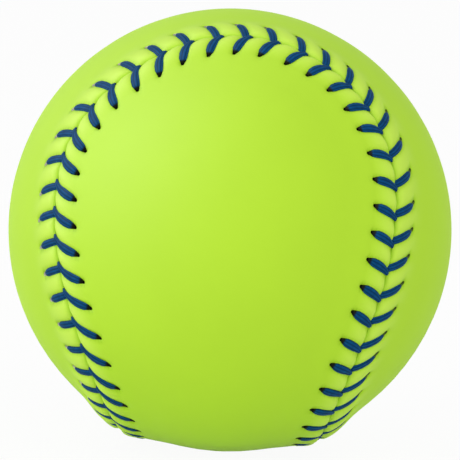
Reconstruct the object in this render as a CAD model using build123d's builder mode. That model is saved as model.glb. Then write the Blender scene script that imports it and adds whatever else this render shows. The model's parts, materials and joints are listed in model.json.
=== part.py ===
from build123d import *
import os
from math import acos, atan2, cos, degrees, pi, radians, sin, sqrt, tan

# A twelve-inch softball: a moulded core, a film of cement, two figure-eight leather panels and
# the two waxed threads that sew them together.
# The origin is the ball's centre and +Z is up. The front panel has its round lobes towards -Y and
# +Y and its waist underneath. The side panel has its lobes towards +X and -X and its waist on top.
# All lengths are in millimetres and all angles in degrees.

# The ball
ball_circumference = 304.8  # round the plain leather, away from the seam
leather_thickness = 1.4
cement_thickness = 0.2
bond_clearance = 0.05  # between two bonded faces

# The seam: two round lobes a panel, joined by straight runs
waist_width = 42.8  # of a panel at its narrowest, from seam to seam
straight_run = 23.4  # length of the seam from one lobe to the next

# The sewing
stitch_count = 88
first_stitch = 2.7  # along the seam, from the top of the front lobe
hole_distance = 6.0  # from the seam
hole_lag = 3.6  # how far a hole lies behind the place where its thread goes into the seam
hole_skew = 1.2  # how far the lag swings, as each panel's holes are spaced along its own edge
hole_clearance = 0.3  # around the thread in its hole
leg_gap = 0.9  # between a stitch's two legs where they go down into the seam
front_bow = 0.45  # power by which a front panel's leg keeps its lag on its way to the seam
side_bow = 2.0  # power by which a side panel's leg loses it
thread_diameter = 0.9
thread_clearance = 0.1  # around the thread in the seam
lay_clearance = 0.25  # over and under the thread where it lies along the leather
run_share = 0.45  # share of a straight run that each rounded corner may take
end_gap = 1.5  # between the two tucked ends of one thread

# The raised edge of the leather along the seam, pared on its inner side to make room for the thread
crown_wall = 1.3  # the leather's thickness at the crown, midway between the seam and the holes
edge_drop = 0.35  # from the crown down to the edge at the seam
ridge_fade = 4.0  # from the holes to where the ridge meets the plain ball
paring_slope = 0.9  # length of the slope from the pared leather to the full thickness
edge_rounding = 0.3
rounding_limit = 0.45  # most of the edge's thickness that one rounding may take

ball_radius = ball_circumference / (2 * pi)
inner_radius = ball_radius - leather_thickness
film_radius = inner_radius - bond_clearance
core_radius = film_radius - cement_thickness - bond_clearance
thread_radius = thread_diameter / 2
hole_radius = thread_radius + hole_clearance
half_gap = thread_radius + thread_clearance
channel_radius = film_radius + thread_diameter + 2 * lay_clearance
channel_end = hole_distance + hole_radius + lay_clearance
ridge_height = channel_radius + crown_wall - ball_radius
ridge_crown = hole_distance / 2
ridge_foot = hole_distance + ridge_fade
band_reach = leather_thickness + ridge_height + thread_diameter
punch_length = 2 * band_reach

# The seam's angles, at the ball's centre
half_waist = waist_width / 2 / ball_radius
half_run = straight_run / 2 / ball_radius
lobe_edge = pi / 2 - half_waist  # from the equator to the far edge of a lobe
lobe = atan2(sqrt(2) * cos(half_run) - cos(lobe_edge), sin(lobe_edge))  # from a lobe's centre to the seam
rise = lobe_edge - lobe  # from the equator to a lobe's centre
crossing = acos(cos(rise) / sqrt(2))  # from a lobe's centre to the middle of a straight run
half_lobe = atan2(1, -sin(rise)) - acos(tan(lobe) / tan(crossing))
lobe_length = 2 * half_lobe * sin(lobe) * ball_radius
seam_length = 4 * (lobe_length + straight_run)
pitch = seam_length / stitch_count


def turn_and_flip(vector, times):
    """Carry a direction of the front lobe to the next lobe along the seam: a quarter turn and a flip."""
    for _ in range(times):
        vector = Vector(-vector.Y, vector.X, -vector.Z)
    return vector


class Stretch:
    """One arc of the seam, a lobe or a straight run, which turns from its start about its axis."""

    def __init__(self, axis, start, turn, quarter):
        flip = -1 if quarter % 2 else 1
        self.axis = turn_and_flip(axis, quarter) * flip
        self.start = turn_and_flip(start, quarter)
        if turn < 0:
            self.axis = self.axis * -1
        self.turn = abs(turn)
        self.length = self.turn * ball_radius * self.axis.cross(self.start).length
        self.plane = self.square_to_seam(self.start)
        across_axis = self.axis.cross(self.plane.z_dir)
        if across_axis.dot(self.start) < 0:
            across_axis = across_axis * -1
        self.outward = self.plane.to_local_coords(across_axis)

    def square_to_seam(self, place):
        """A plane across the seam, with X outwards and Y towards the front panel."""
        return Plane((0, 0, 0), x_dir=place, z_dir=self.axis.cross(place))

    def plane_at(self, share):
        """The plane across the seam at a share of the stretch."""
        turned = self.start.rotate(Axis((0, 0, 0), self.axis), degrees(self.turn * share))
        return self.square_to_seam(turned)


lobe_centre = Vector(0, -cos(rise), sin(rise))
lobe_top = Vector(0, sin(rise), cos(rise))
lobe_side = Vector(1, 0, 0)


def on_front_lobe(angle):
    """A direction on the seam round the front lobe, at an angle from its top towards +X."""
    outward = lobe_top * cos(angle) + lobe_side * sin(angle)
    return lobe_centre * cos(lobe) + outward * sin(lobe)


run_start = on_front_lobe(half_lobe)
run_end = Vector(-run_start.Y, -run_start.X, -run_start.Z)
run_axis = run_start.cross(run_end).normalized()

seam = []
for quarter in range(4):
    seam.append(Stretch(lobe_centre, on_front_lobe(-half_lobe), -2 * half_lobe, quarter))
    seam.append(Stretch(run_axis, run_start, 2 * half_run, quarter))


def ball_point(along, across, radius):
    """A point at a length along the seam from the front lobe's top, and across it to the front panel."""
    along = (along + lobe_length / 2) % seam_length
    for stretch in seam:
        if along <= stretch.length:
            break
        along -= stretch.length
    plane = stretch.plane_at(along / stretch.length)
    angle = across / ball_radius
    return (plane.x_dir * cos(angle) + plane.y_dir * sin(angle)) * radius


def ridge(across):
    """Height of the leather over the plain ball at a distance from the seam."""
    across = abs(across)
    if across < ridge_crown:
        return ridge_height - edge_drop * (1 - across / ridge_crown) ** 2
    return ridge_height * (1 + cos(pi * (across - ridge_crown) / (ridge_foot - ridge_crown))) / 2


def across_seam(across, radius):
    """A point of a profile square to the seam."""
    angle = across / ball_radius
    return (radius * cos(angle), radius * sin(angle))


def foot_point(side):
    """Where a raised edge meets the plain ball, in a profile square to the seam."""
    return Vector(*across_seam(side * ridge_foot, ball_radius))


def seam_band(stretch):
    """Sketch the band that both raised edges take out of the plain leather."""
    reach = stretch.outward * band_reach
    with BuildSketch(stretch.plane) as band:
        with BuildLine():
            Polyline(
                foot_point(1) - reach,
                foot_point(1) + reach,
                foot_point(-1) + reach,
                foot_point(-1) - reach,
                close=True,
            )
        make_face()
    return band.sketch


def raised_edge(stretch, steps=6):
    """Sketch the raised, pared edge of the front panel."""
    places = [half_gap + (ridge_foot - half_gap) * step / steps for step in range(steps + 1)]
    outer = [across_seam(place, ball_radius + ridge(place)) for place in places]
    foot = foot_point(1)
    reach = foot.dot(stretch.outward)
    foot_inside = foot - stretch.outward * (reach - sqrt(reach**2 - ball_radius**2 + inner_radius**2))
    slope_end = channel_end + paring_slope
    floor_middle = across_seam((ridge_foot + slope_end) / 2, inner_radius)
    floor_end = across_seam(slope_end, inner_radius)
    channel_start = across_seam(channel_end, channel_radius)
    channel_middle = across_seam(channel_end / 2, channel_radius)
    channel_edge = across_seam(half_gap, channel_radius)
    with BuildSketch(stretch.plane) as edge:
        with BuildLine():
            Spline(*outer)
            Line(outer[-1], foot_inside)
            ThreePointArc(foot_inside, floor_middle, floor_end)
            Line(floor_end, channel_start)
            ThreePointArc(channel_start, channel_middle, channel_edge)
            Line(channel_edge, outer[0])
        make_face()
        corners = edge.vertices().sort_by(Axis.Y)[:2]
        fillet(corners, min(edge_rounding, rounding_limit * (crown_wall - edge_drop)))
    return edge.sketch


def turned_along_seam(profile):
    """Turn a profile along every stretch of the seam."""
    return [
        revolve(
            profile(stretch),
            axis=Axis((0, 0, 0), stretch.axis),
            revolution_arc=degrees(stretch.turn),
            mode=Mode.PRIVATE,
        )
        for stretch in seam
    ]


def hole_place(stitch, side):
    """Where a stitch's hole lies: along the seam, and across it."""
    along = first_stitch + stitch * pitch
    lag = hole_lag - side * hole_skew * sin(4 * pi * along / seam_length)
    return along - lag, side * hole_distance


def dive_place(stitch, side):
    """Where a stitch's leg goes down into the seam, as a length along it."""
    step_back = thread_diameter + leg_gap if side < 0 else 0
    return first_stitch + stitch * pitch - step_back


def leg_corners(stitch, side):
    """Corners of one leg: up through its hole, over the ridge and down into the seam."""
    under = film_radius + thread_radius + lay_clearance
    over = ball_radius + thread_radius + lay_clearance
    hole, across = hole_place(stitch, side)
    dive = dive_place(stitch, side)
    bow = front_bow if side > 0 else side_bow
    crown = dive - (dive - hole) * (ridge_crown / hole_distance) ** bow
    return [
        ball_point(hole, across, under),
        ball_point(hole, across, over + ridge(hole_distance)),
        ball_point(crown, side * ridge_crown, over + ridge_height),
        ball_point(dive, 0, over + ridge_height - edge_drop),
        ball_point(dive, 0, under),
    ]


def corner_radius(before, corner, after):
    """The largest arc that the two straight runs at a corner leave room for."""
    arriving = corner - before
    leaving = after - corner
    half_turn = radians(arriving.get_angle(leaving)) / 2
    return run_share * min(arriving.length, leaving.length) / tan(half_turn)


def panel_side(stitch, needle):
    """The panel that a needle's thread comes up through at a stitch: the two take turns."""
    return 1 if (stitch + needle) % 2 == 0 else -1


def thread_path(needle):
    """Draw one needle's whole thread, from leg to leg, with its ends tucked under the leather."""
    legs = [leg_corners(stitch, panel_side(stitch, needle)) for stitch in range(stitch_count)]
    for number, leg in enumerate(legs):
        before = legs[number - 1][-1]
        after = legs[(number + 1) % stitch_count][0]
        start = (before + leg[0]) / 2
        end = (leg[-1] + after) / 2
        if number == 0:
            start = start + (leg[0] - before).normalized() * end_gap / 2
        if number == stitch_count - 1:
            end = end - (after - leg[-1]).normalized() * end_gap / 2
        points = [start, *leg, end]
        corners = zip(points, points[1:], points[2:])
        FilletPolyline(*points, radius=[corner_radius(*corner) for corner in corners])


def stitch_holes(side):
    """Planes at one panel's stitch holes, each square to its hole."""
    for stitch in range(stitch_count):
        along, across = hole_place(stitch, side)
        place = ball_point(along, across, ball_radius)
        yield Plane(place, z_dir=place)


# The core: one moulded ball
with BuildPart() as core:
    Sphere(core_radius)

# The film of cement that holds the leather to the core
with BuildPart() as cement_film:
    Sphere(film_radius)
    Sphere(core_radius + bond_clearance, mode=Mode.SUBTRACT)

# The plain leather, without the band along the seam
with BuildPart() as plain_leather:
    Sphere(ball_radius)
    Sphere(inner_radius, mode=Mode.SUBTRACT)
    add(turned_along_seam(seam_band), mode=Mode.SUBTRACT)

# One panel with its raised edge, before its holes are punched, where the front panel lies
with BuildPart() as panel_blank:
    lower_leather = plain_leather.solids().sort_by(lambda solid: solid.bounding_box().min.Z)[0]
    add([lower_leather, *turned_along_seam(raised_edge)])

# The front panel: lobes to the front and back, waist underneath
with BuildPart() as front_cover_panel:
    add(panel_blank.part)
    with Locations(*stitch_holes(1)):
        Cylinder(hole_radius, punch_length, mode=Mode.SUBTRACT)

# The side panel: the same panel flipped over and turned a quarter, with its waist on top
with BuildPart() as side_cover_panel:
    add(mirror(panel_blank.part, about=Plane.XY, mode=Mode.PRIVATE), rotation=(0, 0, 90))
    with Locations(*stitch_holes(-1)):
        Cylinder(hole_radius, punch_length, mode=Mode.SUBTRACT)

# The two threads, one for each needle
with BuildPart() as first_needle_thread:
    with BuildLine() as first_path:
        thread_path(0)
    with BuildSketch(first_path.line ^ 0):
        Circle(thread_radius)
    sweep()

with BuildPart() as second_needle_thread:
    with BuildLine() as second_path:
        thread_path(1)
    with BuildSketch(second_path.line ^ 0):
        Circle(thread_radius)
    sweep()

os.makedirs("parts", exist_ok=True)
pieces = {
    "core": core,
    "cement_film": cement_film,
    "front_cover_panel": front_cover_panel,
    "side_cover_panel": side_cover_panel,
    "first_needle_thread": first_needle_thread,
    "second_needle_thread": second_needle_thread,
}
for name, piece in pieces.items():
    piece.part.label = name
    export_step(piece.part, f"parts/{name}.step")
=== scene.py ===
"""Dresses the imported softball: puffed leather panels, waxed stitches, and the studio around it."""

import json
import math
from typing import NamedTuple

import bmesh
import bpy
from bpy.props import FloatProperty, FloatVectorProperty, IntProperty, PointerProperty
from mathutils import Matrix, Quaternion, Vector


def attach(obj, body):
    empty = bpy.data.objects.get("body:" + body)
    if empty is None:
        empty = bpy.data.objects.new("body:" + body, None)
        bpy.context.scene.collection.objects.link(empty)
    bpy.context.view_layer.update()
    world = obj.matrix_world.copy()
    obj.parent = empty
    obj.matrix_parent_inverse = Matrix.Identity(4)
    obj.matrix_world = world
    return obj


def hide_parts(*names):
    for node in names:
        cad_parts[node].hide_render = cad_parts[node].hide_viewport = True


bl_info = {
    "name": "Softball",
    "version": (1, 0, 0),
    "blender": (4, 5, 0),
    "location": "3D View > Sidebar > Softball",
    "description": "Builds a softball's leather panels and stitches over its packed solids",
    "category": "Object",
}

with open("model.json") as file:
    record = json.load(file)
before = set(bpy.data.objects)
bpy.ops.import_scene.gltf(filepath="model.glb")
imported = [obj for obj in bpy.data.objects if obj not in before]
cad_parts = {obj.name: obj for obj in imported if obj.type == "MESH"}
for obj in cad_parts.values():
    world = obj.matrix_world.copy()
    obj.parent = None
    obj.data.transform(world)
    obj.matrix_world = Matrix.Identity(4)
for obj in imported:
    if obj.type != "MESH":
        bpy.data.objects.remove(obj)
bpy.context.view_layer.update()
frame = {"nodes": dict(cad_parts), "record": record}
MM = 0.001
BALL_RADIUS = -frame["record"]["mounts"][0]["pos_m"][2]
FRONT = 1
SIDE = -1
CENTRE = (0, 0, 0)
WHITE = (1, 1, 1, 1)

# How far each stitch round one lobe lies ahead of even spacing, in mm, from the lobe's top onwards
SEWN_AHEAD = (
    *(1.15, 0.95, 1.2, 0.8, 0.7, 0.6, 0.1, 0.2, 0.45, 0.65, 0.25),
    *(-0.05, -0.25, -0.6, -0.7, -1.05, -0.8, -0.5, 0.1, 0.55, 0.8, 1.15),
)
# How far the thread draws the seam inwards at each of them, in mm, on the front panel's lobes alone
DRAWN_IN = (
    *(0.1, -0.3, -0.5, -0.4, -0.65, -0.5, -0.45, -0.45, -0.3, -0.2, 0.0),
    *(0.0, -0.15, 0.0, 0.05, 0.4, 1.2, 1.75, 2.25, 2.15, 1.45, 0.65),
)
# From the seam to where the drawn leather begins and ends its return to its own place
DRAWN_FADE = (10 * MM, 20.5 * MM)

# The raised seam: how much lower its edge is than its crown, and the power of its outer slope
EDGE_DIP = 0.2 * MM
SLOPE_POWER = 1.4

# The pillows between the stitches: where they rise and fade from the seam, and the legs' troughs
PILLOW_RISE = (-0.8 * MM, 1.4 * MM)
PILLOW_FADE = {FRONT: (1.5 * MM, 6.0 * MM), SIDE: (1.2 * MM, 10.2 * MM)}
TROUGH_WIDTH = 1.4 * MM

# The dimple that a stitch pulls at its hole, and the creases beside the stitch, which are also
# painted darker as shade
DIMPLE_WIDTH = 1.1 * MM
DIMPLE_LENGTH = 1.2 * MM
DIMPLE_SHIFT = 0.3 * MM
CREASE_WIDTH = 1.15 * MM
CREASE_END = 0.7 * MM

# A leg's slant is measured over this step, and no nearer to the seam than this
SLANT_STEP = 0.2 * MM
SLANT_START = 0.4 * MM
# Share of a hole's lag at the middle of its leg
MIDDLE_LAG = 0.6

# Rows of a panel's section: in the field, on the face in mm from the seam, by the holes, below
FIELD_ROWS = 8
OUTER_ROWS = (12.3, 11.1, 10.0, 9.0, 8.2, 7.5)
INNER_ROWS = (4.4, 3.95, 3.5, 3.05, 2.6, 2.1, 1.65, 1.25)
EDGE_ROWS = (0.95, 0.7, 0.5, 0.33, 0.2, 0.1, 0.05)
HOLE_ROWS = 3
HOLE_ROW_STEP = 0.3 * MM
BELOW_RIDGE = 4 * MM
BELOW_FIELD = (16 * MM, 24 * MM, 32 * MM)
# How far a fan that is cut reaches past the panel's middle
PAST_MIDDLE = 1.04

# Distances within which a vertex counts as on a face, a row or a cut, or as one with another
NEAR_FACE = 0.2 * MM
NEAR_HOLE_FACE = 0.1 * MM
ON_FACE = 0.01 * MM
ON_ROW = 0.01 * MM
ON_CUT = 0.002 * MM
CUT_DISTANCE = 1e-7
MERGE_DISTANCE = 0.012 * MM

# A direction along which hardly two places of a panel tie, for putting them in order
ORDER_AXIS = Vector((0.31, 0.53, 0.79))

HOLE_DEPTH = 0.9 * MM
# Share of a leg over which its hole takes its direction
HOLE_AIM = 0.06

# A stitch leg's mesh: points round it, spans along it, and its flattened shoulders
LEG_POINTS = 10
LEG_SPANS = 8
SHOULDERS = (0.7, 0.9)
SHOULDER_SIZE = 0.8
# A step along a leg, as a share of it, over which its direction is measured
LEG_STEP = 0.02
# How deep a leg goes into its hole, and the shares of the leg between which it comes up
HOLE_SINK = 0.8 * MM
COMES_UP = (-0.07, 0.06)
# The leather's height under a leg is taken no nearer to the seam than this
NEAREST_SKIN = 0.8 * MM
# The power by which a front leg nears the seam, and how far a side leg reaches past it
FRONT_LEG_POWER = 1.6
SIDE_LEG_PAST = 0.7 * MM

# Marks across a crease, which break up its painted shade, and their wander, in radians to a stitch's
# pitch and to the noise
CREASE_MARKS = 48.0
CREASE_WANDER = 9.0
# Strands across a stitch, in radians to half its width
STRANDS = 8.5
# The share of a leg at which its tip, painted as shade in its hole or pale as a highlight, ends, and
# how much longer it is at the side
TIP_END = (0.092, 0.054)
SIDE_TIP_MORE = 0.085
# Half the width of the change across X from the painted dark shade to the painted pale highlight at
# the side panel's holes and stitch tips
KEY_LIT_CHANGE = 15 * MM

# Soft boxes: place and size in metres, and power in watts
KEY_LIGHT = ((-1.15, -0.9, 0.6), 1.5, 12.5)
FILL_LIGHT = ((0.8, -0.9, 0.7), 1.5, 5.5)
GLOSS_LIGHT = ((-1.25, -0.3, 1.1), 1.8, 84.0)
# Strength of the world's light on the ball, and the share of white in the floor that is seen
WORLD_LIGHT = 0.58
FLOOR_WHITE = 0.94
FLOOR_SIZE = 6
FLOOR_SEGMENTS = 4

# The camera: the picture's width and the focal length in pixels, and the distance in ball radii
PICTURE_WIDTH = 460
FOCAL_LENGTH = 3487
SENSOR_WIDTH = 36
CAMERA_DISTANCE = 15.77
CAMERA_RIGHT = (0.9982, 0.0429, 0.0418)
CAMERA_BACK = (0.0361, -0.9880, 0.1505)


class LegShape(NamedTuple):
    """How a stitch's leg lies and narrows, by shares of its way from its hole to its end."""

    bow: float  # power by which it leaves its hole's lag
    lift: float  # of its middle over the leather
    tail_drop: float  # of its end into the seam
    tail_from: float  # share at which the end begins to drop
    hole_width: float  # its width at the hole
    widens: tuple  # shares between which it gets its full width
    body_width: float  # its full width
    narrows: tuple  # widths that it loses, each with the shares between which it does


LEG_SHAPES = {
    FRONT: LegShape(
        bow=0.58,
        lift=0.24 * MM,
        tail_drop=0.5 * MM,
        tail_from=0.84,
        hole_width=0.46,
        widens=(-0.04, 0.18),
        body_width=1.04,
        narrows=((0.4, 0.34, 0.85), (0.42, 0.8, 1)),
    ),
    SIDE: LegShape(
        bow=1.15,
        lift=0.2 * MM,
        tail_drop=0.45 * MM,
        tail_from=0.78,
        hole_width=0.2,
        widens=(0.03, 0.34),
        body_width=0.92,
        narrows=((0.12, 0.6, 1),),
    ),
}


class SoftballSizes(bpy.types.PropertyGroup):
    """Sizes of the cover and its sewing."""

    ball_radius: FloatProperty(
        name="Ball radius",
        description="Radius of the plain leather",
        default=BALL_RADIUS,
        unit="LENGTH",
    )
    leather: FloatProperty(
        name="Leather",
        description="Thickness of the leather",
        default=1.4 * MM,
        unit="LENGTH",
    )
    waist_width: FloatProperty(
        name="Waist",
        description="Width of a panel's waist",
        default=42.8 * MM,
        unit="LENGTH",
    )
    straight_run: FloatProperty(
        name="Straight run",
        description="Length of the seam between two lobes",
        default=23.4 * MM,
        unit="LENGTH",
    )
    stitch_count: IntProperty(
        name="Stitches",
        description="Stitches round each panel",
        default=88,
    )
    first_stitch: FloatProperty(
        name="First stitch",
        description="From the top of the front lobe to a stitch's point",
        default=2.7 * MM,
        unit="LENGTH",
    )
    hole_distance: FloatProperty(
        name="Hole distance",
        description="From the seam to the front panel's stitch holes",
        default=5.6 * MM,
        unit="LENGTH",
    )
    side_hole_distance: FloatProperty(
        name="Side hole distance",
        description="From the seam to the side panel's stitch holes",
        default=6.1 * MM,
        unit="LENGTH",
    )
    hole_lag: FloatProperty(
        name="Hole lag",
        description="How far a hole lies behind its stitch's point",
        default=3.6 * MM,
        unit="LENGTH",
    )
    hole_skew: FloatProperty(
        name="Hole skew",
        description="How much that lag changes round the seam",
        default=1.2 * MM,
        unit="LENGTH",
    )
    leg_offset: FloatProperty(
        name="Leg offset",
        description="Between the ends of a stitch's two legs",
        default=1.5 * MM,
        unit="LENGTH",
    )
    hole_length: FloatProperty(
        name="Hole length",
        description="Length of a stitch hole along its leg",
        default=1.25 * MM,
        unit="LENGTH",
    )
    hole_width: FloatProperty(
        name="Hole width",
        description="Width of a stitch hole across its leg",
        default=0.85 * MM,
        unit="LENGTH",
    )
    ridge_height: FloatProperty(
        name="Ridge height",
        description="Height of the raised seam",
        default=1.0 * MM,
        unit="LENGTH",
    )
    ridge_crown: FloatProperty(
        name="Ridge crown",
        description="From the seam to the ridge's top",
        default=2.3 * MM,
        unit="LENGTH",
    )
    ridge_foot: FloatProperty(
        name="Ridge foot",
        description="From the seam to the plain leather",
        default=13.5 * MM,
        unit="LENGTH",
    )
    edge_roll: FloatProperty(
        name="Edge roll",
        description="Radius of the leather's rolled edge",
        default=0.5 * MM,
        unit="LENGTH",
    )
    pillow: FloatProperty(
        name="Pillow",
        description="How high the front panel swells between stitches",
        default=0.85 * MM,
        unit="LENGTH",
    )
    side_pillow: FloatProperty(
        name="Side pillow",
        description="How high the side panel swells between stitches",
        default=0.75 * MM,
        unit="LENGTH",
    )
    unevenness: FloatProperty(
        name="Unevenness",
        description="How much of the sewing hand's straying from an even seam is kept",
        default=1.0,
        subtype="FACTOR",
    )
    pull: FloatProperty(
        name="Pull",
        description="How deep a stitch's hole is drawn in",
        default=0.3 * MM,
        unit="LENGTH",
    )
    leg_width: FloatProperty(
        name="Leg width",
        description="Width of a stitch",
        default=1.95 * MM,
        unit="LENGTH",
    )
    leg_thickness: FloatProperty(
        name="Leg thickness",
        description="Thickness of a stitch",
        default=0.6 * MM,
        unit="LENGTH",
    )


class SoftballColours(bpy.types.PropertyGroup):
    """Colours of the ball and its stage."""

    leather: FloatVectorProperty(
        name="Leather",
        description="Dyed leather",
        default=(0.455, 0.745, 0.027),
        subtype="COLOR",
        min=0,
        max=1,
    )
    # Stretched leather on the swollen pillows, partly painted highlight: the pillow tops are painted
    # paler where light falls on them
    stretched_and_highlit: FloatVectorProperty(
        name="Stretched and highlit leather",
        description="Leather that is stretched and rubbed between stitches",
        default=(0.56, 0.83, 0.08),
        subtype="COLOR",
        min=0,
        max=1,
    )
    # Creased leather beside the stitches, partly painted shade: darker where shade falls round each
    # leg
    creased: FloatVectorProperty(
        name="Creased and shaded leather",
        description="Leather that is pinched beside a stitch",
        default=(0.30, 0.58, 0.003),
        subtype="COLOR",
        min=0,
        max=1,
    )
    thread: FloatVectorProperty(
        name="Thread",
        description="Waxed thread",
        default=(0.002, 0.061, 0.18),
        subtype="COLOR",
        min=0,
        max=1,
    )
    # Painted shade: dark olive at the side panel's holes and stitch tips, away from the key light
    olive_hole_shade: FloatVectorProperty(
        name="Olive hole shade",
        description="Dark olive painted as shade at the side panel's holes",
        default=(0.07, 0.12, 0.02),
        subtype="COLOR",
        min=0,
        max=1,
    )
    # Painted shade: the inside of a stitch hole and the front panel's stitch tips are painted
    # near-black
    hole: FloatVectorProperty(
        name="Hole",
        description="Inside of a stitch hole",
        default=(0.006, 0.008, 0.004),
        subtype="COLOR",
        min=0,
        max=1,
    )
    # Pale raw leather at the side panel's holes and stitch tips, partly painted highlight: it is
    # used only towards the key light at -X
    lit_raw_leather: FloatVectorProperty(
        name="Raw leather",
        description="Leather worn bare at a hole",
        default=(0.55, 0.53, 0.44),
        subtype="COLOR",
        min=0,
        max=1,
    )
    foam: FloatVectorProperty(
        name="Core",
        description="Moulded foam",
        default=(0.60, 0.51, 0.30),
        subtype="COLOR",
        min=0,
        max=1,
    )
    cement: FloatVectorProperty(
        name="Cement",
        description="Dried latex",
        default=(0.69, 0.60, 0.39),
        subtype="COLOR",
        min=0,
        max=1,
    )
    floor: FloatVectorProperty(
        name="Floor",
        description="Studio floor",
        default=(0.9, 0.9, 0.9),
        subtype="COLOR",
        min=0,
        max=1,
    )


def eased(value, low, high):
    """A smooth step from 0 at low to 1 at high."""
    share = min(max((value - low) / (high - low), 0), 1)
    return share * share * (3 - 2 * share)


class Stretch:
    """One arc of the seam, which turns from its start about its axis."""

    def __init__(self, start, axis, turn, begins, radius, steps):
        self.start = start
        self.axis = axis
        self.turn = turn
        self.begins = begins
        self.steps = steps
        self.radius = radius
        self.polar = axis.angle(start)
        self.length = turn * math.sin(self.polar) * radius
        self.front_is_near_axis = 1 if axis.cross(start).cross(start).dot(axis) > 0 else -1

    def axes_at(self, along):
        """Outward, forward and front-panel directions at a length from the stretch's start."""
        outward = Quaternion(self.axis, self.turn * along / self.length) @ self.start
        forward = self.axis.cross(outward).normalized()
        return outward, forward, forward.cross(outward)

    def place_of(self, point):
        """How far a point lies along the seam, and across it towards the front panel."""
        outward = point.normalized()
        flat = outward - self.axis * outward.dot(self.axis)
        flat_start = self.start - self.axis * self.start.dot(self.axis)
        angle = math.atan2(self.axis.dot(flat_start.cross(flat)), flat_start.dot(flat))
        across = (self.polar - self.axis.angle(outward)) * self.front_is_near_axis
        return self.begins + angle / self.turn * self.length, across * self.radius


class Seam:
    """The figure-eight seam, the raised leather along it and the stitches through it."""

    # Columns in a patch of a stretch, and patches in the stretch
    lobe_steps = (20, 18)
    run_steps = (13, 6)

    def __init__(self, sizes):
        for name in sizes.__annotations__:
            setattr(self, name, getattr(sizes, name))
        half_waist = self.waist_width / 2 / self.ball_radius
        half_run = self.straight_run / 2 / self.ball_radius
        lobe_edge = math.pi / 2 - half_waist
        lobe_rise = math.sqrt(2) * math.cos(half_run) - math.cos(lobe_edge)
        lobe = math.atan2(lobe_rise, math.sin(lobe_edge))
        rise = lobe_edge - lobe
        crossing = math.acos(math.cos(rise) / math.sqrt(2))
        half_lobe = math.atan2(1, -math.sin(rise)) - math.acos(math.tan(lobe) / math.tan(crossing))
        self.lobe_reach = lobe * self.ball_radius

        centre = Vector((0, -math.cos(rise), math.sin(rise)))
        top = Vector((0, math.sin(rise), math.cos(rise)))
        right = Vector((1, 0, 0))
        lobe_start, run_start = (
            centre * math.cos(lobe) + (top * math.cos(a) + right * math.sin(a)) * math.sin(lobe)
            for a in (-half_lobe, half_lobe)
        )
        run_end = Vector((-run_start.y, -run_start.x, -run_start.z))
        run_axis = run_start.cross(run_end).normalized()
        turn_and_flip = Matrix(((0, -1, 0), (1, 0, 0), (0, 0, -1)))

        self.stretches = []
        begins = -half_lobe * math.sin(lobe) * self.ball_radius
        carry = Matrix.Identity(3)
        for quarter in range(4):
            for start, axis, turn, steps in (
                (lobe_start, -centre, 2 * half_lobe, self.lobe_steps),
                (run_start, run_axis, 2 * half_run, self.run_steps),
            ):
                axis = carry @ axis * (-1 if quarter % 2 else 1)
                stretch = Stretch(carry @ start, axis, turn, begins, self.ball_radius, steps)
                self.stretches.append(stretch)
                begins += stretch.length
            carry = turn_and_flip @ carry
        self.begins = self.stretches[0].begins
        self.length = begins - self.begins
        self.pitch = self.length / self.stitch_count

    def stretch_at(self, along):
        """The stretch at a length along the seam, and the length from its start."""
        along = (along - self.begins) % self.length
        for stretch in self.stretches:
            if along <= stretch.length:
                break
            along -= stretch.length
        return stretch, along

    def point(self, along, across, height):
        """A point along the seam, across it to the front panel, and over the plain ball."""
        stretch, start = self.stretch_at(along)
        outward, _, frontward = stretch.axes_at(start)
        angle = (across + self.drift(along, across)) / self.ball_radius
        direction = outward * math.cos(angle) + frontward * math.sin(angle)
        return direction * (self.ball_radius + height)

    def stitch(self, number):
        """Where a stitch's point lies along the seam, a little unevenly, as it is sewn by hand."""
        ahead = SEWN_AHEAD[number % len(SEWN_AHEAD)] * MM * self.unevenness
        return self.first_stitch + number * self.pitch + ahead

    def drawn(self, number):
        """How far the seam is drawn towards the front panel at a stitch."""
        stitches = len(DRAWN_IN)
        lobe = (number + stitches // 2) // stitches
        on_front_lobe = lobe % 2 == 0
        return DRAWN_IN[number % stitches] * MM * self.unevenness if on_front_lobe else 0.0

    def drift(self, along, across):
        """How far the leather at a place is drawn with the seam, smoothly from stitch to stitch."""
        place = (along + self.hole_lag - self.first_stitch) / self.pitch
        number = math.floor(place)
        share = place - number
        before, start, end, after = (self.drawn(number + step) for step in (-1, 0, 1, 2))
        bend = 2 * before - 5 * start + 4 * end - after
        bend += (3 * (start - end) + after - before) * share
        at_seam = start + (end - before + bend * share) * share / 2
        return at_seam * (1 - eased(abs(across), *DRAWN_FADE))

    def reach(self, side):
        """How far a panel's stitch holes lie from the seam."""
        return self.hole_distance if side == FRONT else self.side_hole_distance

    def lag(self, along, side):
        """How far the hole lies behind its stitch's point on one panel."""
        return self.hole_lag - side * self.hole_skew * math.sin(4 * math.pi * along / self.length)

    def leg_along(self, number, side, across):
        """Where a leg lies along the seam, at a distance from it."""
        point = self.stitch(number)
        lag = self.lag(point, side)
        share = min(max(across / self.reach(side), 0), 1) ** LEG_SHAPES[side].bow
        if side == FRONT:
            return point - lag * share
        return point - self.leg_offset - (lag - self.leg_offset) * share

    def nearest_leg(self, along, across, side):
        """The length along the seam from the nearest leg of a panel to a place."""
        middle = along + self.lag(along, side) * MIDDLE_LAG
        guess = round((middle - self.first_stitch) / self.pitch)
        offsets = [along - self.leg_along(guess + step, side, across) for step in (-1, 0, 1)]
        return min(offsets, key=abs)

    def ridge(self, across):
        """Height of the raised seam over the plain ball, before the stitches pull it down."""
        if across < self.ridge_crown:
            height = self.ridge_height - EDGE_DIP * (1 - across / self.ridge_crown) ** 2
        else:
            share = min((across - self.ridge_crown) / (self.ridge_foot - self.ridge_crown), 1)
            height = self.ridge_height * ((1 + math.cos(math.pi * share)) / 2) ** SLOPE_POWER
        roll = max(self.edge_roll - across, 0)
        return height - self.edge_roll + math.sqrt(self.edge_roll**2 - roll**2)

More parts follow.
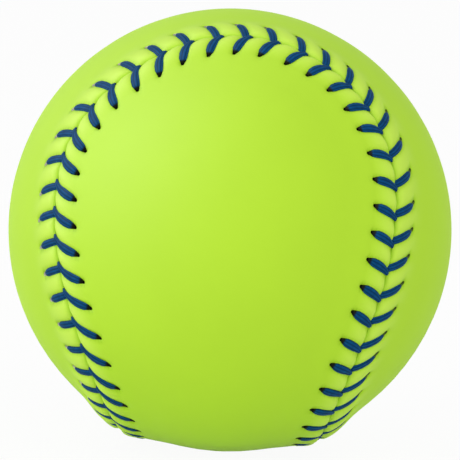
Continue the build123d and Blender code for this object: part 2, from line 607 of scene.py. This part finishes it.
    def relief(self, along, across, side):
        """The leather's height over the plain ball, its swelling, which also masks a painted
        highlight, and how a stitch creases it, which masks painted shade.
        """
        if across > self.ridge_foot:
            return 0.0, 0.0, 0.0
        inner = max(across - SLANT_STEP, SLANT_START)
        forward = self.leg_along(0, side, inner + SLANT_STEP) - self.leg_along(0, side, inner)
        slant = forward / SLANT_STEP
        beside = self.nearest_leg(along, across, side) / math.sqrt(1 + slant * slant)
        pillow = self.pillow if side == FRONT else self.side_pillow
        swell = eased(across, *PILLOW_RISE) * (1 - eased(across, *PILLOW_FADE[side]))
        swell *= 1 - math.exp(-((beside / TROUGH_WIDTH) ** 2))
        past_hole = across - self.reach(side)
        away = math.hypot(beside / DIMPLE_WIDTH, (past_hole + DIMPLE_SHIFT) / DIMPLE_LENGTH)
        dimple = self.pull * math.exp(-(away**2))
        # Mask of the painted shade beside a stitch, from the seam to just past its hole
        past_crease = max(past_hole, 0) / CREASE_END
        crease = math.exp(-((beside / CREASE_WIDTH) ** 4) - past_crease**2)
        return self.ridge(across) + pillow * swell - dimple, swell, crease


def new_piece(name, mesh_source, materials):
    """Makes an object of a bmesh at the origin."""
    mesh = bpy.data.meshes.new(name)
    mesh_source.to_mesh(mesh)
    mesh_source.free()
    for polygon in mesh.polygons:
        polygon.use_smooth = True
    for material in materials:
        mesh.materials.append(material)
    piece = bpy.data.objects.new(name, mesh)
    bpy.context.scene.collection.objects.link(piece)
    return piece


def cover_rows(seam, side):
    """A panel's section over its face to the seam and back below, as distances and radii."""
    foot = seam.ridge_foot
    spans = FIELD_ROWS - 1
    field = [foot + (seam.lobe_reach - foot) * (spans - row) / spans for row in range(FIELD_ROWS)]
    beside_hole = range(HOLE_ROWS, -HOLE_ROWS - 1, -1)
    hole = [seam.reach(side) + HOLE_ROW_STEP * row for row in beside_hole]
    outer, inner, edge = ([d * MM for d in rows] for rows in (OUTER_ROWS, INNER_ROWS, EDGE_ROWS))
    face = field + outer + hole + inner + edge
    wall = [(edge[-1], seam.ball_radius - seam.leather / 2)]
    below = [edge[-1], BELOW_RIDGE, foot, *BELOW_FIELD, seam.lobe_reach]
    inner_radius = seam.ball_radius - seam.leather
    return [(d, seam.ball_radius) for d in face] + wall + [(d, inner_radius) for d in below]


def spin_stretch(seam, stretch, side, rows):
    """One fan of a panel: its section turned along an arc of the seam and cut at the middle."""
    work = bmesh.new()
    along_layer = work.verts.layers.float.new("along")
    across_layer = work.verts.layers.float.new("across")
    uv_layer = work.loops.layers.uv.new("sewing")
    outward, _, frontward = stretch.axes_at(0)
    is_lobe = stretch.steps == seam.lobe_steps
    own_lobe = is_lobe and (stretch.polar > math.pi / 2) == (side == FRONT)
    if not own_lobe:
        beyond = seam.lobe_reach * PAST_MIDDLE
        rows = [(beyond, rows[0][1]), *rows, (beyond, rows[-1][1])]
    chain = []
    for across, radius in rows:
        angle = across / seam.ball_radius
        direction = outward * math.cos(angle) + frontward * side * math.sin(angle)
        chain.append(work.verts.new(direction * radius))
    edges = [work.edges.new(pair) for pair in zip(chain, chain[1:])]
    columns, patches = stretch.steps
    patch_turn = stretch.turn / patches
    turn = {"cent": CENTRE, "axis": stretch.axis}
    bmesh.ops.spin(work, geom=chain + edges, angle=patch_turn, steps=columns, **turn)
    bmesh.ops.spin(
        work,
        geom=work.verts[:] + work.edges[:] + work.faces[:],
        angle=stretch.turn - patch_turn,
        steps=patches - 1,
        use_duplicate=True,
        **turn,
    )
    if not own_lobe:
        middle = stretch.axes_at(stretch.length / 2)[0]
        normal = Vector((1, 0, 0)) if side == FRONT else Vector((0, 1, 0))
        if middle.dot(normal) < 0:
            normal = -normal
        bmesh.ops.bisect_plane(
            work,
            geom=work.verts[:] + work.edges[:] + work.faces[:],
            dist=CUT_DISTANCE,
            plane_co=CENTRE,
            plane_no=normal,
            clear_inner=True,
        )
    for vert in work.verts:
        if vert.co.length > seam.ball_radius - NEAR_FACE:
            vert.co *= seam.ball_radius / vert.co.length
        along, across = stretch.place_of(vert.co)
        vert[along_layer] = along
        vert[across_layer] = across * side
        forward = stretch.axes_at(along - stretch.begins)[1]
        vert.co = Quaternion(forward, seam.drift(along, across) / seam.ball_radius) @ vert.co
    for face in work.faces:
        for loop in face.loops:
            place = (loop.vert[along_layer], loop.vert[across_layer])
            loop[uv_layer].uv = [length / seam.pitch for length in place]
    return work


def punch_holes(seam, panel, side):
    """Opens the panel's face at each stitch hole and returns the edges of the round openings."""
    along_layer = panel.verts.layers.float["along"]
    across_layer = panel.verts.layers.float["across"]
    hole_distance = seam.reach(side)
    row = [
        vert
        for vert in panel.verts
        if abs(vert[across_layer] - hole_distance) < ON_ROW
        and vert.co.length > seam.ball_radius - NEAR_HOLE_FACE
    ]
    gone = set()
    for number in range(seam.stitch_count):
        along = seam.leg_along(number, side, hole_distance)
        target = seam.point(along, side * hole_distance, 0)
        middle = min(row, key=lambda vert: (vert.co - target).length_squared)
        ring = {vert for face in middle.link_faces for vert in face.verts}
        faces = {face for vert in ring for face in vert.link_faces}
        rim = {vert for face in faces for vert in face.verts} - ring
        stretch, start = seam.stretch_at(along)
        outward = stretch.axes_at(start)[0]
        lengthways = leg_point(seam, number, side, 0) - leg_point(seam, number, side, HOLE_AIM)
        lengthways -= outward * lengthways.dot(outward)
        lengthways.normalize()
        sideways = outward.cross(lengthways)
        for vert in rim:
            reach = vert.co - target
            angle = math.atan2(reach.dot(sideways), reach.dot(lengthways))
            place = lengthways * math.cos(angle) * seam.hole_length
            place += sideways * math.sin(angle) * seam.hole_width
            vert.co = (target + place / 2).normalized() * seam.ball_radius
            vert[along_layer], across = stretch.place_of(vert.co)
            vert[across_layer] = (across - seam.drift(vert[along_layer], across)) * side
        gone |= faces
    bmesh.ops.delete(panel, geom=list(gone), context="FACES")
    return [edge for edge in panel.edges if edge.is_boundary]


def puff_up(seam, panel, side):
    """Raises the panel's face along the seam and marks where it is swollen, to be painted paler as a
    highlight, and creased, to be painted darker as shade.
    """
    layers = panel.verts.layers.float
    along_layer = layers["along"]
    across_layer = layers["across"]
    swell_layer = layers.new("swell")
    crease_shade_layer = layers.new("crease")
    for vert in panel.verts:
        if vert.co.length > seam.ball_radius - ON_FACE:
            relief = seam.relief(vert[along_layer], vert[across_layer], side)
            height, vert[swell_layer], vert[crease_shade_layer] = relief
            vert.co *= (seam.ball_radius + height) / vert.co.length


def line_holes(seam, panel, opened):
    """Gives the openings of the stitch holes their walls and bottoms."""
    walls = bmesh.ops.extrude_edge_only(panel, edges=opened)["geom"]
    for item in walls:
        if isinstance(item, bmesh.types.BMVert):
            item.co *= 1 - HOLE_DEPTH / seam.ball_radius
    ends = [item for item in walls if isinstance(item, bmesh.types.BMEdge) and item.is_boundary]
    bottoms = bmesh.ops.edgeloop_fill(panel, edges=ends)["faces"]
    for item in walls + bottoms:
        if isinstance(item, bmesh.types.BMFace):
            item.material_index = 1


def put_in_order(mesh):
    """Puts a mesh's elements in the same order in each run, which the cut leaves to chance."""
    mesh.verts.sort(key=lambda vert: vert.co.dot(ORDER_AXIS))
    mesh.edges.sort(key=lambda edge: (edge.verts[0].co + edge.verts[1].co).dot(ORDER_AXIS))
    mesh.faces.sort(key=lambda face: face.calc_center_median().dot(ORDER_AXIS))


def cover_panel(name, side, materials):
    """One figure-eight panel with its puffed edge and punched holes."""
    seam = Seam(bpy.context.scene.softball_sizes)
    rows = cover_rows(seam, side)
    panel = bmesh.new()
    for stretch in seam.stretches:
        work = spin_stretch(seam, stretch, side, rows)
        fan = bpy.data.meshes.new("fan")
        work.to_mesh(fan)
        work.free()
        panel.from_mesh(fan)
        bpy.data.meshes.remove(fan)
    put_in_order(panel)
    bmesh.ops.remove_doubles(panel, verts=panel.verts[:], dist=MERGE_DISTANCE)
    put_in_order(panel)
    cut_axis = 0 if side == FRONT else 1
    in_line = [
        face
        for face in panel.faces
        if sum(abs(vert.co[cut_axis]) < ON_CUT for vert in face.verts) > 2
    ]
    bmesh.ops.triangulate(panel, faces=in_line, quad_method="BEAUTY", ngon_method="BEAUTY")
    opened = punch_holes(seam, panel, side)
    puff_up(seam, panel, side)
    line_holes(seam, panel, opened)
    bmesh.ops.recalc_face_normals(panel, faces=panel.faces[:])
    for layer in ("along", "across"):
        panel.verts.layers.float.remove(panel.verts.layers.float[layer])
    return new_piece(name, panel, materials)


def plain_leg():
    """A straight stitch leg of unit size: X across, Y its height and Z from its hole to its end."""
    leg = bmesh.new()
    circle = bmesh.ops.create_circle(leg, cap_ends=True, segments=LEG_POINTS, radius=1)
    section = circle["verts"]
    quarter_turn = Matrix.Rotation(math.pi / 2, 3, "Z")
    bmesh.ops.rotate(leg, verts=section, cent=CENTRE, matrix=quarter_turn)
    for vert in section:
        if SHOULDERS[0] < vert.co.y < SHOULDERS[1]:
            vert.co *= SHOULDER_SIZE
    edges = leg.edges[:]
    for _ in range(LEG_SPANS):
        geom = bmesh.ops.extrude_edge_only(leg, edges=edges)["geom"]
        verts = [item for item in geom if isinstance(item, bmesh.types.BMVert)]
        edges = [item for item in geom if isinstance(item, bmesh.types.BMEdge) and item.is_boundary]
        bmesh.ops.translate(leg, verts=verts, vec=(0, 0, 1 / LEG_SPANS))
    bmesh.ops.edgeloop_fill(leg, edges=edges)
    bmesh.ops.recalc_face_normals(leg, faces=leg.faces[:])
    leg.verts.layers.float.new("panel")
    uv_layer = leg.loops.layers.uv.new("strands")
    for face in leg.faces:
        for loop in face.loops:
            loop[uv_layer].uv = (-loop.vert.co.x, loop.vert.co.z)
    mesh = bpy.data.meshes.new("plain_leg")
    leg.to_mesh(mesh)
    leg.free()
    return mesh


def leg_point(seam, number, side, share):
    """The middle of a leg, at a share of the way from its hole to its end."""
    share = min(max(share, 0), 1)
    shape = LEG_SHAPES[side]
    if side == FRONT:
        across = seam.reach(side) * (1 - share) ** FRONT_LEG_POWER
    else:
        across = seam.reach(side) - (seam.reach(side) + SIDE_LEG_PAST) * share
    along = seam.leg_along(number, side, across)
    skin = seam.relief(along, max(across, NEAREST_SKIN), side)[0]
    sink = HOLE_SINK * (1 - eased(share, *COMES_UP))
    tail = shape.tail_drop * eased(share, shape.tail_from, 1)
    return seam.point(along, side * across, skin + shape.lift - sink - tail)


def lay_leg(seam, thread, template, number, side):
    """Adds one stitch leg to a thread, bent along its route."""
    first = len(thread.verts)
    thread.from_mesh(template)
    thread.verts.ensure_lookup_table()
    side_layer = thread.verts.layers.float["panel"]
    shape = LEG_SHAPES[side]
    for vert in thread.verts[first:]:
        across, height, share = vert.co
        vert[side_layer] = side
        middle = leg_point(seam, number, side, share)
        behind = leg_point(seam, number, side, share - LEG_STEP)
        forward = leg_point(seam, number, side, share + LEG_STEP) - behind
        sideways = middle.cross(forward).normalized()
        upward = forward.cross(sideways).normalized()
        swell = shape.hole_width + (1 - shape.hole_width) * eased(share, *shape.widens)
        taper = shape.body_width
        for loss, narrows_from, narrows_to in shape.narrows:
            taper -= loss * eased(share, narrows_from, narrows_to)
        half_width = seam.leg_width / 2 * swell * taper
        half_thickness = seam.leg_thickness / 2 * (1 + taper) / 2
        vert.co = middle + sideways * across * half_width + upward * height * half_thickness


def needle_thread(name, needle, material):
    """All the legs of one needle's thread, which lie on the two panels in turn."""
    seam = Seam(bpy.context.scene.softball_sizes)
    template = plain_leg()
    thread = bmesh.new()
    for number in range(seam.stitch_count):
        side = FRONT if (number + needle) % 2 == 0 else SIDE
        lay_leg(seam, thread, template, number, side)
    bpy.data.meshes.remove(template)
    thread.normal_update()
    return new_piece(name, thread, [material])


class Nodes:
    """Adds nodes to the tree of a material or a world and links them."""

    def __init__(self, owner):
        owner.use_nodes = True
        self.tree = owner.node_tree

    def join(self, value, socket):
        """Links a socket to an input, or sets the input's value."""
        if isinstance(value, bpy.types.NodeSocket):
            self.tree.links.new(value, socket)
        else:
            socket.default_value = value

    def set(self, node, inputs):
        """Sets or links a node's inputs by their names or numbers."""
        for name, value in inputs.items():
            self.join(value, node.inputs[name])

    def add(self, kind, inputs=None, **settings):
        """Adds a node: inputs are values, or sockets to link."""
        node = self.tree.nodes.new("ShaderNode" + kind)
        for name, value in settings.items():
            setattr(node, name, value)
        self.set(node, inputs or {})
        return node

    def math(self, operation, *values):
        """A math node's result."""
        return self.add("Math", dict(enumerate(values)), operation=operation).outputs[0]

    def ramp(self, value, start, end, low=0.0, high=1.0):
        """A value that goes from low at the start to high at the end."""
        limits = {"From Min": start, "From Max": end, "To Min": low, "To Max": high}
        return self.add("MapRange", {"Value": value, **limits}).outputs[0]

    def blend(self, share, first, second):
        """A colour mixed of two."""
        node = self.add("Mix", data_type="RGBA")
        colours = [socket for socket in node.inputs if socket.type == "RGBA"]
        for value, socket in zip((share, first, second), (node.inputs[0], *colours)):
            self.join(value, socket)
        return next(socket for socket in node.outputs if socket.type == "RGBA")

    def noise(self, scale, detail):
        """Noise on the object's own coordinates, with its scale in cells to a metre."""
        place = self.add("TexCoord").outputs["Object"]
        return self.add("TexNoise", {"Vector": place, "Scale": scale, "Detail": detail}).outputs[0]

    def bump(self, height, strength, distance):
        """A normal that a height turns."""
        inputs = {"Strength": strength, "Distance": distance, "Height": height}
        return self.add("Bump", inputs).outputs[0]

    def attribute(self, name):
        """A value that the mesh carries."""
        return self.add("Attribute", attribute_name=name).outputs["Fac"]

    def uv_parts(self, name):
        """The two parts of a UV map."""
        place = self.add("UVMap", uv_map=name).outputs["UV"]
        return self.add("SeparateXYZ", {"Vector": place}).outputs[:2]

    def worn_side(self):
        """1 on the side of the ball towards -X, where the key light is, and where the side panel's
        holes and stitch tips are painted pale as a highlight.
        """
        place = self.add("TexCoord").outputs["Object"]
        across = self.add("SeparateXYZ", {"Vector": place}).outputs[0]
        return self.ramp(across, KEY_LIT_CHANGE, -KEY_LIT_CHANGE)

    def seen(self):
        """1 for a ray that shows the stage to the camera, by itself or off or through a piece."""
        rays = self.add("LightPath").outputs
        share = self.math("MAXIMUM", rays["Is Camera Ray"], rays["Is Glossy Ray"])
        return self.math("MAXIMUM", share, rays["Is Transmission Ray"])


def new_material(name):
    """A new material, its nodes and its shader."""
    material = bpy.data.materials.new(name)
    nodes = Nodes(material)
    return material, nodes, nodes.tree.nodes["Principled BSDF"]


def shaded(colour, level=1):
    """A colour at a level of its brightness, with full alpha."""
    return (*(part * level for part in colour), 1)


def leather_material(colours):
    """Optic yellow leather: a satin coat with a fine grain and a faint cloud in its dye; the swollen
    pillows are painted paler, as stretched leather and painted highlight, and the creases beside the
    stitches darker, as creases and painted shade.
    """
    material, nodes, shader = new_material("optic_leather")
    cloud = nodes.noise(scale=45, detail=3)
    grain = nodes.noise(scale=2600, detail=3)
    _, across = nodes.uv_parts("sewing")
    wander = nodes.math("MULTIPLY", nodes.noise(scale=1100, detail=2), CREASE_WANDER)
    place = nodes.math("ADD", nodes.math("MULTIPLY", across, CREASE_MARKS), wander)
    marks = nodes.ramp(nodes.math("SINE", place), 0.2, 1.0, low=0.55)
    # Painted shade beside each stitch, broken up by crease marks across it
    pinch_shade = nodes.math("MULTIPLY", nodes.attribute("crease"), marks)
    base = nodes.blend(cloud, shaded(colours.leather, 0.96), shaded(colours.leather, 1.04))
    # Painted highlight: the swollen pillows between the stitches are painted paler, partly as
    # stretched leather
    base = nodes.blend(nodes.attribute("swell"), base, shaded(colours.stretched_and_highlit))
    base = nodes.blend(pinch_shade, base, shaded(colours.creased))
    finish = {
        "Base Color": base,
        "Roughness": nodes.math("MULTIPLY_ADD", grain, 0.1, 0.6),
        "Normal": nodes.bump(grain, strength=0.25, distance=0.04 * MM),
        "Specular IOR Level": 0.24,
    }
    nodes.set(shader, finish)
    return material


def hole_material(colours, pale):
    """The inside of a stitch hole, painted as shade: near-black, or on the side panel dark olive
    that turns to pale raw leather towards -X as a painted highlight.
    """
    material, nodes, shader = new_material("worn_hole" if pale else "waxed_hole")
    grain = nodes.noise(scale=4000, detail=2)
    # Painted shade inside the hole: near-black, or dark olive on the side panel
    tone = colours.olive_hole_shade if pale else colours.hole
    base = nodes.blend(grain, shaded(tone, 0.6), shaded(tone, 1.6))
    if pale:
        # Painted highlight: pale raw leather on the side towards the key light
        base = nodes.blend(nodes.worn_side(), base, shaded(colours.lit_raw_leather))
    nodes.set(shader, {"Base Color": base, "Roughness": 0.9, "Specular IOR Level": 0.1})
    return material


def thread_material(colours):
    """Waxed blue thread: fine strands along the stitch with painted shade in their grooves, and ends
    painted as shade where they sink into their holes, turning pale as a highlight on the side panel
    towards -X.
    """
    material, nodes, shader = new_material("waxed_thread")
    across, along = nodes.uv_parts("strands")
    strands = nodes.math("SINE", nodes.math("MULTIPLY", across, STRANDS))
    cloud = nodes.noise(scale=900, detail=3)
    waxed = nodes.blend(cloud, shaded(colours.thread, 0.5), shaded(colours.thread, 1.6))
    # Painted shade: the thread is painted darker in the grooves between its strands
    groove_shade = nodes.ramp(strands, -1.0, 0.3, low=0.75, high=0.0)
    groove_shaded = nodes.blend(groove_shade, waxed, shaded(colours.thread, 0.3))
    on_side_panel = nodes.ramp(nodes.attribute("panel"), 0.5, -0.5)
    # Painted tips: near-black shade in the front panel's holes, and dark olive shade on the side
    # panel that turns pale as a highlight towards the key light at -X
    painted_tip = nodes.blend(nodes.worn_side(), shaded(colours.olive_hole_shade), shaded(colours.lit_raw_leather))
    painted_tip = nodes.blend(on_side_panel, shaded(colours.hole), painted_tip)
    longer_tip = nodes.math("MULTIPLY", on_side_panel, SIDE_TIP_MORE)
    at_tip = nodes.ramp(nodes.math("SUBTRACT", along, longer_tip), *TIP_END)
    finish = {
        "Base Color": nodes.blend(at_tip, groove_shaded, painted_tip),
        "Roughness": 0.55,
        "Normal": nodes.bump(strands, strength=0.4, distance=0.05 * MM),
        "Specular IOR Level": 0.05,
    }
    nodes.set(shader, finish)
    return material


def foam_material(colours):
    """Moulded foam with a closed skin."""
    material, nodes, shader = new_material("moulded_foam")
    cells = nodes.noise(scale=900, detail=4)
    base = nodes.blend(cells, shaded(colours.foam, 0.9), shaded(colours.foam, 1.08))
    bump = nodes.bump(cells, strength=0.2, distance=0.1 * MM)
    nodes.set(shader, {"Base Color": base, "Roughness": 0.6, "Normal": bump})
    return material


def cement_material(colours):
    """Dried latex cement, brushed on unevenly."""
    material, nodes, shader = new_material("dried_cement")
    streaks = nodes.noise(scale=250, detail=5)
    base = nodes.blend(streaks, shaded(colours.cement, 0.8), shaded(colours.cement, 1.1))
    bump = nodes.bump(streaks, strength=0.3, distance=0.1 * MM)
    nodes.set(shader, {"Base Color": base, "Roughness": 0.35, "Normal": bump})
    return material


def floor_material(colours):
    """A pale floor that looks white to the camera and keeps a soft shadow."""
    material, nodes, shader = new_material("studio_floor")
    finish = {"Base Color": shaded(colours.floor), "Roughness": 1.0, "Specular IOR Level": 0.0}
    nodes.set(shader, finish)
    white = nodes.add("Emission", {"Color": WHITE, "Strength": 1.0}).outputs[0]
    share = nodes.math("MULTIPLY", nodes.seen(), FLOOR_WHITE)
    mixed = nodes.add("MixShader", {0: share, 1: shader.outputs[0], 2: white}).outputs[0]
    nodes.set(nodes.tree.nodes["Material Output"], {"Surface": mixed})
    return material


class SOFTBALL_OT_covers(bpy.types.Operator):
    """Builds the two leather panels in place of their solids."""

    bl_idname = "softball.covers"
    bl_label = "Leather panels"

    def execute(self, context):
        colours = context.scene.softball_colours
        leather = leather_material(colours)
        for name, side, node in (
            ("front_cover", FRONT, "front_cover_panel"),
            ("side_cover", SIDE, "side_cover_panel"),
        ):
            materials = [leather, hole_material(colours, pale=side == SIDE)]
            piece = cover_panel(name, side, materials)
            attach(piece, "root")
            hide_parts(node)
        return {"FINISHED"}


class SOFTBALL_OT_threads(bpy.types.Operator):
    """Sews the stitches of both needles in place of their solids."""

    bl_idname = "softball.threads"
    bl_label = "Stitches"

    def execute(self, context):
        material = thread_material(context.scene.softball_colours)
        for name, needle, node in (
            ("first_stitches", 0, "first_needle_thread"),
            ("second_stitches", 1, "second_needle_thread"),
        ):
            piece = needle_thread(name, needle, material)
            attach(piece, "root")
            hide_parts(node)
        return {"FINISHED"}


class SOFTBALL_OT_inside(bpy.types.Operator):
    """Gives the core and the cement film their materials."""

    bl_idname = "softball.inside"
    bl_label = "Core and cement"

    def execute(self, context):
        colours = context.scene.softball_colours
        for node, material in (
            ("core", foam_material(colours)),
            ("cement_film", cement_material(colours)),
        ):
            mesh = frame["nodes"][node].data
            mesh.materials.clear()
            mesh.materials.append(material)
        return {"FINISHED"}


def area_light(name, place, size, power):
    """A square soft box that faces the ball."""
    data = bpy.data.lights.new(name, "AREA")
    data.shape = "SQUARE"
    data.size = size
    data.energy = power
    light = bpy.data.objects.new(name, data)
    light.location = place
    light.rotation_euler = (-Vector(place)).to_track_quat("-Z", "Y").to_euler()
    bpy.context.scene.collection.objects.link(light)
    return light


def studio_world():
    """A white surround that lights the ball softly and looks white to the camera."""
    world = bpy.data.worlds.new("studio")
    nodes = Nodes(world)
    strength = nodes.math("MULTIPLY_ADD", nodes.seen(), 1 - WORLD_LIGHT, WORLD_LIGHT)
    nodes.set(nodes.tree.nodes["Background"], {"Color": WHITE, "Strength": strength})
    return world


def front_camera(ball_radius):
    """A camera that looks at the ball's centre from the front, a little from above."""
    data = bpy.data.cameras.new("camera")
    data.sensor_width = SENSOR_WIDTH
    data.lens = FOCAL_LENGTH / PICTURE_WIDTH * SENSOR_WIDTH
    camera = bpy.data.objects.new("camera", data)
    back = Vector(CAMERA_BACK).normalized()
    up = back.cross(Vector(CAMERA_RIGHT)).normalized()
    turned = Matrix((up.cross(back), up, back)).transposed().to_4x4()
    camera.matrix_world = Matrix.Translation(back * CAMERA_DISTANCE * ball_radius) @ turned
    bpy.context.scene.collection.objects.link(camera)
    return camera


class SOFTBALL_OT_stage(bpy.types.Operator):
    """Sets the floor, the light and the camera."""

    bl_idname = "softball.stage"
    bl_label = "Stage"

    def execute(self, context):
        scene = context.scene
        ball_radius = scene.softball_sizes.ball_radius
        floor = bmesh.new()
        bmesh.ops.create_grid(
            floor, x_segments=FLOOR_SEGMENTS, y_segments=FLOOR_SEGMENTS, size=FLOOR_SIZE
        )
        bmesh.ops.translate(floor, verts=floor.verts[:], vec=(0, 0, -ball_radius))
        new_piece("floor", floor, [floor_material(scene.softball_colours)])

        area_light("key_light", *KEY_LIGHT)
        fill = area_light("fill_light", *FILL_LIGHT)
        fill.visible_glossy = False
        gloss = area_light("gloss_light", *GLOSS_LIGHT)
        gloss.visible_diffuse = False

        scene.world = studio_world()
        scene.camera = front_camera(ball_radius)
        scene.view_settings.view_transform = "Standard"
        return {"FINISHED"}


class SOFTBALL_PT_panel(bpy.types.Panel):
    """Lists the ball's sizes, colours and pieces."""

    bl_idname = "SOFTBALL_PT_panel"
    bl_label = "Softball"
    bl_space_type = "VIEW_3D"
    bl_region_type = "UI"
    bl_category = "Softball"

    def draw(self, context):
        layout = self.layout
        for group in (context.scene.softball_sizes, context.scene.softball_colours):
            box = layout.box()
            for name in group.__annotations__:
                box.prop(group, name)
        for operator in OPERATORS:
            layout.operator(operator.bl_idname)


OPERATORS = (SOFTBALL_OT_covers, SOFTBALL_OT_threads, SOFTBALL_OT_inside, SOFTBALL_OT_stage)
CLASSES = (SoftballSizes, SoftballColours, *OPERATORS, SOFTBALL_PT_panel)


def register():
    """Registers the add-on's classes."""
    for cls in CLASSES:
        bpy.utils.register_class(cls)
    bpy.types.Scene.softball_sizes = PointerProperty(type=SoftballSizes)
    bpy.types.Scene.softball_colours = PointerProperty(type=SoftballColours)


def unregister():
    """Removes the add-on's classes."""
    del bpy.types.Scene.softball_colours
    del bpy.types.Scene.softball_sizes
    for cls in reversed(CLASSES):
        bpy.utils.unregister_class(cls)


def main():
    register()
    bpy.ops.softball.covers()
    bpy.ops.softball.threads()
    bpy.ops.softball.inside()
    bpy.ops.softball.stage()


if __name__ == "__main__":
    main()
